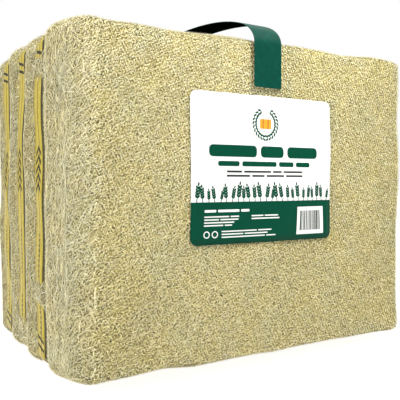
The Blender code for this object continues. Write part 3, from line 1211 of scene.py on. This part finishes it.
# The box of bars that mean nothing
BAR_BOX = (154 * MM, 7 * MM, 45 * MM, 35 * MM)
BAR_ENDS = (159 * MM, 193 * MM)
BAR_BOTTOM = 12 * MM
BAR_HEIGHT = 25 * MM
BAR_WIDTHS_MM = (1.1, 1.6, 2.3)
BAR_GAPS_MM = (0.7, 1.0, 1.3)

label_prints.append((rectangle(*BAR_BOX), WHITE))
bar_chance = np.random.default_rng(8)
bar_x = BAR_ENDS[0]
while bar_x < BAR_ENDS[1]:
    bar_width = bar_chance.choice(BAR_WIDTHS_MM) * MM
    label_prints.append((rectangle(bar_x, BAR_BOTTOM, bar_width, BAR_HEIGHT), GREY))
    bar_x += bar_width + bar_chance.choice(BAR_GAPS_MM) * MM
print("shapes printed on the label:", len(label_prints))

# %% Label mesh
label_white = make_printed_plastic("white_polypropylene_label", "#d3d4d0", 0.35, 0.015, 0.12, 6 * MM)
label_green = make_printed_plastic("dark_green_label_ink", "#003d2b", 0.38, 0.06, 0.06, 6 * MM)
label_gold = make_printed_plastic("gold_label_ink", "#e0902c", 0.38, 0.06, 0.12, 6 * MM)
label_grey = make_printed_plastic("grey_label_ink", "#2a2e2b", 0.4, 0.06, 0.12, 6 * MM)

label_folds = [((0.0, y), (LABEL_WIDTH, y)) for y in cuts(LABEL_HEIGHT, LABEL_FOLD)]
label_folds += [((x, 0.0), (x, LABEL_HEIGHT)) for x in cuts(LABEL_WIDTH, LABEL_FOLD)]
label_places, label_triangles, label_inks = cut_sheet(
    round_rectangle(0.0, 0.0, LABEL_WIDTH, LABEL_HEIGHT, LABEL_CORNER, 8), label_prints, label_folds
)
label_spots = np.stack([
    (label_low.x + label_places[:, 0]) * FILM_HALF[0] / (FILM_HALF[0] - SWELL_END),
    np.full(len(label_places), -FILM_HALF[1]),
    label_low.z + label_places[:, 1] - FILM_HALF[2],
], 1)
label_points, _ = skin(label_spots)
label_points[:, 1] -= LABEL_PROUD
label_mesh = mesh_from_faces("label", label_points, label_triangles)
label_mesh.shade_smooth()
label_finishes = [label_white, label_green, label_gold, label_grey]
label_piece = add_piece(
    "printed_label", label_mesh, "label", label_finishes, label_inks
)
thicken(label_piece, LABEL_THICK)

# %% [markdown]
# The handle is a flat tape of woven and laminated polypropylene, dark green, glued flat to the front
# and the back of the film. Between them it rises in a low springy arch, 29 mm over the bale. Its
# faces show fine ribs along its length. The side that looks down is painted nearly black, as painted
# shade for the shade it lies in.

# %% Handle tape material
RIB_SPACING_MM = 1.6
tape_material, tape_tree, tape_shader = new_material(
    "green_laminated_tape", {"Roughness": 0.42, "IOR": 1.49, "Specular IOR Level": 0.06}
)
tape_spot = add_node(tape_tree, "Attribute", {"attribute_name": "tape_mm"})
tape_ribs = add_node(
    tape_tree, "TexWave", {"wave_type": "BANDS", "bands_direction": "X", "wave_profile": "SIN"},
    values={"Scale": 1 / RIB_SPACING_MM, "Distortion": 0.4, "Detail": 1.0},
    links={"Vector": tape_spot.outputs["Vector"]},
)
tape_scuffs = add_node(
    tape_tree, "TexNoise",
    values={"Scale": 0.12, "Detail": 5.0},
    links={"Vector": tape_spot.outputs["Vector"]},
)
tape_colour = add_node(
    tape_tree, "ValToRGB",
    links={"Fac": tape_scuffs},
    stops=[(0.3, "#02352a"), (0.6, "#033c30"), (0.75, "#084537")],
)
tape_bump = add_node(
    tape_tree, "Bump", values={"Strength": 0.3, "Distance": 0.15 * MM}, links={"Height": tape_ribs}
)
wire(tape_tree, tape_shader, {"Base Color": tape_colour, "Normal": tape_bump})

# Painted shade: the tape's inner side is coloured nearly black, for the shade it lies in
tape_inside_shade, inside_tree, inside_shader = new_material(
    "painted_shade_tape_inside", {"Roughness": 0.6, "IOR": 1.49, "Specular IOR Level": 0.0}
)
inside_spot = add_node(inside_tree, "Attribute", {"attribute_name": "tape_mm"})
inside_noise = add_node(
    inside_tree, "TexNoise",
    values={"Scale": 0.4, "Detail": 4.0},
    links={"Vector": inside_spot.outputs["Vector"]},
)
inside_colour = add_node(
    inside_tree, "ValToRGB", links={"Fac": inside_noise}, stops=[(0.3, "#010604"), (0.7, "#030d09")]
)
wire(inside_tree, inside_shader, {"Base Color": inside_colour})

# %% Handle tape mesh
TAPE_THICK = 0.9 * MM
# The arch, as in the model: heights are over the bale's top, and the lift-off is below it
SHOULDER_BACK = 30 * MM
SHOULDER_RISE = 8.5 * MM
SHOULDER_SLOPE = Vector((0.940, 0.342))
ARCH_RISE = 29 * MM
LIFT_OFF = -22 * MM
ACROSS_STEPS = 12
EDGE_THINNING = 0.35
MODEL_TAPE_HALF = 0.5 * MM
# How far each end of a curve runs straight before it bends: at the lift-off, shoulder and crown
LIFT_OFF_PULL = Vector((0.0, 0.016))
SHOULDER_PULLS = (0.014, 0.045)
CROWN_PULL = Vector((0.060, 0.0))
# Points up the face, from the lift-off to the shoulder, and from there to the crown
PATH_STEPS = (14, 20, 30)

handle_low, handle_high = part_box("carry_handle")
TAPE_MIDDLE = (handle_low.x + handle_high.x) / 2
TAPE_WIDTH = handle_high.x - handle_low.x
bale_top = FILM_HALF[2] * 2
face = handle_high.y - MODEL_TAPE_HALF
lift_off = Vector((-face, bale_top + LIFT_OFF))
shoulder = Vector((SHOULDER_BACK - face, bale_top + SHOULDER_RISE))
crown = Vector((0.0, bale_top + ARCH_RISE))
path = [Vector((-face, z)) for z in np.linspace(handle_low.z, lift_off.y, PATH_STEPS[0])[:-1]]
path += interpolate_bezier(
    lift_off,
    lift_off + LIFT_OFF_PULL,
    shoulder - SHOULDER_SLOPE * SHOULDER_PULLS[0],
    shoulder,
    PATH_STEPS[1],
)
path += interpolate_bezier(
    shoulder,
    shoulder + SHOULDER_SLOPE * SHOULDER_PULLS[1],
    crown - CROWN_PULL,
    crown,
    PATH_STEPS[2],
)[1:]
half_path = [(point.x, point.y) for point in path]
tape_line = np.array(half_path + [(-y, z) for y, z in reversed(half_path[:-1])])
tape_way = unit(np.gradient(tape_line, axis=0))
tape_out = np.stack([-tape_way[:, 1], tape_way[:, 0]], 1)
tape_run = np.concatenate([[0], np.cumsum(np.linalg.norm(np.diff(tape_line, axis=0), axis=1))])
print("tape length in mm:", round(tape_run[-1] / MM))

# One section of the tape, clockwise seen along it: across the outside, then back across the inside
shares = np.linspace(-1, 1, ACROSS_STEPS + 1)
outside = [(share, 0.5) for share in shares]
inside = [(share, -0.5) for share in shares[::-1]]
section = np.array(outside + inside)
# The outermost eighth on either side thins towards the edge
rounded = 1 - EDGE_THINNING * np.maximum(np.abs(section[:, 0]) * 8 - 7, 0)
tape_points = np.zeros((len(tape_line), len(section), 3))
tape_points[:, :, 0] = TAPE_MIDDLE + section[:, 0] * TAPE_WIDTH / 2
level = (section[:, 1] * rounded * TAPE_THICK)[None, :, None]
tape_points[:, :, 1:] = tape_line[:, None, :] + tape_out[:, None, :] * level
columns = len(section)
rows = len(tape_line)
here = np.arange(rows - 1)[:, None] * columns + np.arange(columns)
beside = np.arange(rows - 1)[:, None] * columns + (np.arange(columns) + 1) % columns
tape_squares = np.stack([here, here + columns, beside + columns, beside], 2).reshape(-1, 4)
caps = [list(range(columns)), list(range(rows * columns - 1, (rows - 1) * columns - 1, -1))]
tape_mesh = mesh_from_arrays(
    "tape",
    tape_points.reshape(-1, 3),
    np.concatenate([tape_squares.ravel(), *caps]),
    np.array([4] * len(tape_squares) + [columns] * 2),
)
# The faces of the inner side take the painted shade
faces_in = (np.arange(columns) > ACROSS_STEPS) & (np.arange(columns) < columns - 1)
tape_inks = np.concatenate([np.tile(faces_in, rows - 1), [False, False]])
tape_spots = np.zeros((rows, columns, 3))
tape_spots[:, :, 0] = section[:, 0] * TAPE_WIDTH / 2 / MM
tape_spots[:, :, 1] = tape_run[:, None] / MM
point_values(tape_mesh, "tape_mm", tape_spots.reshape(-1, 3))
tape_mesh.shade_smooth()
tape_mesh.set_sharp_from_angle(angle=math.radians(50))
tape_finishes = [tape_material, tape_inside_shade]
add_piece("carry_tape", tape_mesh, "carry_handle", tape_finishes, tape_inks)
